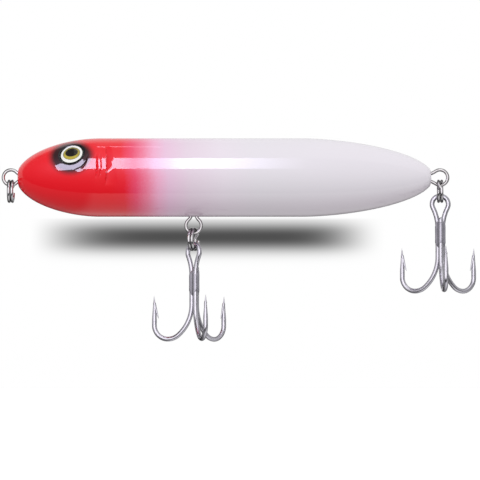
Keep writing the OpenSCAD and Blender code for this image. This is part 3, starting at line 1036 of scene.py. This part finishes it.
def braze():
    """Solder that coats the three shanks, fills their grooves and closes the foot of the eye."""
    turn = np.radians(np.arange(0, 360, 4))
    spokes = np.stack([np.cos(turn), np.sin(turn)], 1)
    crest = 0.5 + 0.5 * np.cos(3 * (turn - math.pi / 6))
    ends = -BRAZE_END + 1.1 * crest
    starts = -BRAZE_TOP - 1.3 * crest * (turn < math.pi) - 0.3
    rows = []
    for share, fullness in BRAZE_FILL:
        height = starts + (ends - starts) * share
        below = np.clip(HOOK_NECK + height, 0, HOOK_WAIST)
        spread = SHANK_X + HOOK_WAIST - np.sqrt(HOOK_WAIST**2 - below**2)
        section = np.full(len(turn), (BUNDLE_R + BRAZE_CORE) ** BRAZE_MELT)
        reach = HOOK_WIRE / 2 + BRAZE_COAT * np.clip(1 - (spread - SHANK_X) / 0.16, -1, 1)
        for x, y in ((spread, 0), (-spread, 0), (0 * spread, SHANK_Y - BUNDLE_R)):
            offset = np.stack([x, np.full(len(turn), y)], 1) - np.array([0, SHANK_Y])
            ahead = (spokes * offset).sum(1)
            chord = reach**2 - (offset**2).sum(1) + ahead**2
            edge = np.where((chord > 0) & (ahead > 0), ahead + np.sqrt(np.clip(chord, 0, None)), 0)
            section += edge**BRAZE_MELT
        r = section ** (1 / BRAZE_MELT) * fullness
        rows.append(np.stack([r * np.cos(turn), SHANK_Y + r * np.sin(turn), height], 1))
    size = len(turn)
    faces = grid_faces(len(rows), size, wrap=True)
    faces.append(tuple(range(size)))
    faces.append(tuple(range(size * (len(rows) - 1), size * len(rows))))
    return np.concatenate(rows), faces


METAL += treble("belly", "belly_treble", BELLY, BELLY_HOOK_YAW)
METAL += treble("tail", "tail_treble", TAIL, TAIL_HOOK_YAW)

# ---- hidden balls

for node in ("tail_ballast", "front_rattle_ball", "rear_rattle_ball"):
    ball = frame["nodes"][node]
    ball.data.materials.clear()
    ball.data.materials.append(STEEL)
    ball.data.shade_smooth()

# ---- studio

MID_X = (NOSE_X + TAIL_X) / 2
FLOOR_DROP = 24
FLOOR_HALF = 3000

# The soft shadow is drawn on a card behind the lure. Each of its ends fades over a width and
# by a power, and its top fades just under the belly.
CARD_CENTRE = (54, 20, -15.2)
CARD_HALF = (60, 12)
CARD_FACING = (0.955, 0.985)
SHADOW_ENDS = (3.4, 105.2)
SHADOW_FADES = ((12.1, 1.6), (12.6, 2.0))
SHADOW_Z = -15.35
SHADOW_H = 4.5
SHADOW_POWER = 2.65
SHADOW_TOP = (1.2, 0.2)
SHADOW_DEPTH = 0.92

# Lamps that one shell mirrors: the angles above the horizon and the places behind the line tie
# that bound each, then its strength, where it starts and ends to dim, and its corner's height.
LAMPS = {
    "strip": ((20.8, 53.5), (-151.0, 105.0), (14.5, 30.0, 92.0, 236.0)),
    "edge": ((94.5, 98.0), (6.0, 34.0), (4.0, 40.0, 41.0, 400.0)),
}
LAMP_DISTANCE = 260
LAMP_COLOUR = (0.80, 0.76, 1.0, 1)
DIP_START = (18.0, 26.0)
DIP_END = (43.0, 35.0)
DIP_DEPTH = 0.5
CORNER_SLOPE = 0.45

# Square panels that light only the metal: place, size and brightness.
PANELS = {
    "front": ((MID_X - 60, -420, 40), 500, 1.30),
    "top": ((MID_X, -160, 400), 400, 0.55),
    "back": ((MID_X + 60, 420, 40), 420, 0.55),
    "nose": ((MID_X - 420, -200, -15), 420, 0.50),
}
PANEL_AIM = (MID_X, 0, -15)
PANEL_COLOUR = (1.0, 0.98, 1.0)


def plane(name, centre, across, upward, material):
    """A stage plane given by its centre and half-width vectors, in millimetres."""
    centre, across, upward = [np.array(v, float) for v in (centre, across, upward)]
    corners = [centre + u * across + v * upward for u, v in ((-1, -1), (1, -1), (1, 1), (-1, 1))]
    mesh = bpy.data.meshes.new(name)
    mesh.from_pydata([tuple(c * MM) for c in corners], [], [(0, 1, 2, 3)])
    mesh.materials.append(material)
    made = add_object(name, mesh)
    return made


def floor_material():
    """A pale, faintly mottled and glowing floor."""
    material, graph, place = new_material("pale_floor")
    mottle = graph.noise(place, 0.02, 3, 0.5)
    shader = principled(
        graph,
        Base_Color=graph.mix(mottle, (0.93, 0.93, 0.93, 1), (0.96, 0.96, 0.96, 1)),
        Roughness=0.8,
        Specular_IOR_Level=0.1,
        Emission_Color=WHITE,
        Emission_Strength=0.16,
    )
    finish_material(graph, shader)
    return material


def softbox_material(name, strength, bright_to, dark_from, corner_z):
    """A light panel that dims towards the tail, with a dip near the head and a slanted corner.

    It is clear as well as bright, so that it never hides another lamp.
    """
    material, graph, place = new_material(name)
    x, _, z = graph.split(place)
    dim = graph.span(x, bright_to, dark_from, 1.0, 0.0)
    dip = graph.math("MULTIPLY", graph.span(x, *DIP_START), graph.span(x, *DIP_END))
    dim = graph.math("MULTIPLY", dim, graph.math("MULTIPLY_ADD", dip, -DIP_DEPTH, 1.0))
    corner = graph.math("LESS_THAN", z, graph.math("MULTIPLY_ADD", x, CORNER_SLOPE, corner_z))
    glow = graph.math("MULTIPLY", graph.math("MULTIPLY", dim, corner), strength)
    light = graph.put("ShaderNodeEmission", {"Color": LAMP_COLOUR, "Strength": glow}).outputs[0]
    finish_material(graph, graph.put("ShaderNodeAddShader", {0: light, 1: graph.clear()}).outputs[0])
    return material


def shadow_material():
    """A soft dark band on a clear card, seen only from straight in front."""
    material, graph, place = new_material("soft_shadow")
    x, _, z = graph.split(place)
    nose_end, tail_end = SHADOW_ENDS
    inward = (graph.math("SUBTRACT", x, nose_end), graph.math("SUBTRACT", tail_end, x))
    fades = []
    for distance, (width, power) in zip(inward, SHADOW_FADES):
        near = graph.math("DIVIDE", graph.math("MAXIMUM", distance, 0.0), width)
        fades.append(graph.math("SUBTRACT", 1.0, graph.fall(near, power)))
    down = graph.math("DIVIDE", graph.math("SUBTRACT", z, SHADOW_Z), SHADOW_H)
    core = graph.fall(graph.math("ABSOLUTE", down), SHADOW_POWER)
    band = graph.math("MULTIPLY", graph.math("MULTIPLY", *fades), core)
    top = graph.span(z, SHADOW_TOP[0] - BODY_R, SHADOW_TOP[1] - BODY_R)
    depth = graph.math("MULTIPLY", band, graph.math("MULTIPLY", top, SHADOW_DEPTH))
    incoming = graph.put("ShaderNodeNewGeometry").outputs["Incoming"]
    toward = graph.math("MULTIPLY", graph.split(incoming)[1], -1.0)
    alpha = graph.math("MULTIPLY", depth, graph.span(toward, *CARD_FACING))
    dark = graph.put("ShaderNodeEmission", {"Color": (0, 0, 0, 1), "Strength": 0.0}).outputs[0]
    mixed = graph.put("ShaderNodeMixShader", {0: alpha, 1: graph.clear(), 2: dark})
    finish_material(graph, mixed.outputs[0])
    return material


def light_link(lamp, receivers):
    """Lets a lamp light only some pieces."""
    group = bpy.data.collections.new(lamp.name + "_receivers")
    for piece in receivers:
        group.objects.link(piece)
    lamp.light_linking.receiver_collection = group


def only_for(stage_object, *kinds):
    """Leaves a stage object visible only to the named kinds of ray."""
    for kind in ("camera", "diffuse", "glossy", "transmission", "volume_scatter", "shadow"):
        setattr(stage_object, "visible_" + kind, kind in kinds)


def lamp_plane(name, shell, side, angles, ends, material):
    """A glossy-only panel beside one shell, between two angles above its horizon."""
    lifts = [math.radians(angle) for angle in angles]
    low, high = [np.array([0, -side * math.cos(a), math.sin(a)]) * LAMP_DISTANCE for a in lifts]
    middle = (low + high) / 2 + np.array([(ends[0] + ends[1]) / 2, 0, 0])
    lamp = plane(name, middle, ((ends[1] - ends[0]) / 2, 0, 0), (high - low) / 2, material)
    only_for(lamp, "glossy")
    light_link(lamp, [shell])


def metal_panel(name, place, size, brightness):
    """A square area light aimed at the lure, for the metal only."""
    lamp = bpy.data.lights.new(name, "AREA")
    lamp.shape = "RECTANGLE"
    lamp.size = size * MM
    lamp.size_y = size * MM
    lamp.energy = brightness * math.pi * size * size * MM * MM
    lamp.color = PANEL_COLOUR
    made = add_object(name, lamp)
    made.location = Vector(place) * MM
    made.rotation_mode = "QUATERNION"
    made.rotation_quaternion = (Vector(PANEL_AIM) - Vector(place)).to_track_quat("-Z", "Y")
    made.visible_camera = False
    light_link(made, METAL)


def studio_world():
    """White for the camera, a soft gradient for diffuse light, and banded reflections.

    The bands are bounded by degrees above the horizon, from the left (-Y) side over the top.
    """
    world = bpy.data.worlds.new("studio")
    world.use_nodes = True
    world.cycles.sampling_method = "NONE"
    graph = Graph(world.node_tree)
    x, y, z = graph.split(graph.put("ShaderNodeTexCoord").outputs["Generated"])
    soft = graph.math("MULTIPLY_ADD", z, 0.376, 0.634)
    soft = graph.math("MULTIPLY_ADD", graph.math("ABSOLUTE", y), 0.5375, soft)
    turned = graph.math("ARCTAN2", z, graph.math("MULTIPLY", y, -1.0))
    around = graph.math("MULTIPLY", turned, 180 / math.pi)
    wall = graph.span(around, -48.0, 12.0, 0.06, 0.34)
    wall = graph.math("MULTIPLY", wall, graph.span(x, -0.25, 0.08, 0.2, 1.0))
    ceiling = graph.span(x, -0.22, 0.12, 0.10, 0.72)
    ceiling = graph.mix(graph.span(around, 112, 128), ceiling, (0.75, 0.75, 0.75, 1))
    upper = graph.mix(graph.span(around, 52.0, 60.0), wall, ceiling)
    lower = graph.span(around, -160.0, -138.0, 0.15, 0.68)
    lower = graph.math("MULTIPLY", lower, graph.span(x, -0.24, -0.10, 0.35, 1.0))
    bands = graph.mix(graph.span(around, -50.0, -53.0), upper, lower)
    path = graph.put("ShaderNodeLightPath")
    sharp = graph.math("MAXIMUM", path.outputs["Is Glossy Ray"], path.outputs["Is Transmission Ray"])
    seen = graph.mix(path.outputs["Is Camera Ray"], graph.mix(sharp, soft, bands), WHITE)
    background = graph.put("ShaderNodeBackground", {"Color": seen, "Strength": 1.0})
    output = graph.put("ShaderNodeOutputWorld")
    graph.links.new(background.outputs[0], output.inputs["Surface"])
    bpy.context.scene.world = world


floor_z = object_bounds()[0][2] / MM - FLOOR_DROP
floor = plane("floor", (MID_X, 0, floor_z), (FLOOR_HALF, 0, 0), (0, FLOOR_HALF, 0), floor_material())
only_for(floor, "camera")
card_across = (CARD_HALF[0], 0, 0)
card_upward = (0, 0, CARD_HALF[1])
card = plane("shadow_backdrop", CARD_CENTRE, card_across, card_upward, shadow_material())
only_for(card, "camera")
for label, side in SIDES.items():
    for kind, (angles, ends, glow) in LAMPS.items():
        material = softbox_material(f"{kind}_glow_{label}", *glow)
        lamp_plane(f"{kind}_{label}", SHELLS[label], side, angles, ends, material)
for label, panel in PANELS.items():
    metal_panel(f"metal_panel_{label}", *panel)
studio_world()

# ---- camera

# The picture's width, the point at its middle as (x, z), and the camera's tilt.
FRAME_WIDTH = 132.5
FRAME_CENTRE = (63.3, -17.28)
CAMERA_LIFT = math.radians(-3)

camera_data = bpy.data.cameras.new("camera")
camera_data.lens = 200
camera_data.sensor_width = 36
camera_data.clip_start = 0.01
camera_data.clip_end = 50
camera = add_object("camera", camera_data)
distance = FRAME_WIDTH * camera_data.lens / camera_data.sensor_width
back = Vector((0, -math.cos(CAMERA_LIFT), math.sin(CAMERA_LIFT)))
camera.location = (Vector((FRAME_CENTRE[0], 0, FRAME_CENTRE[1])) + back * distance) * MM
camera.rotation_euler = (math.pi / 2 - CAMERA_LIFT, 0, 0)
bpy.context.scene.camera = camera
bpy.context.scene.view_settings.view_transform = "Standard"
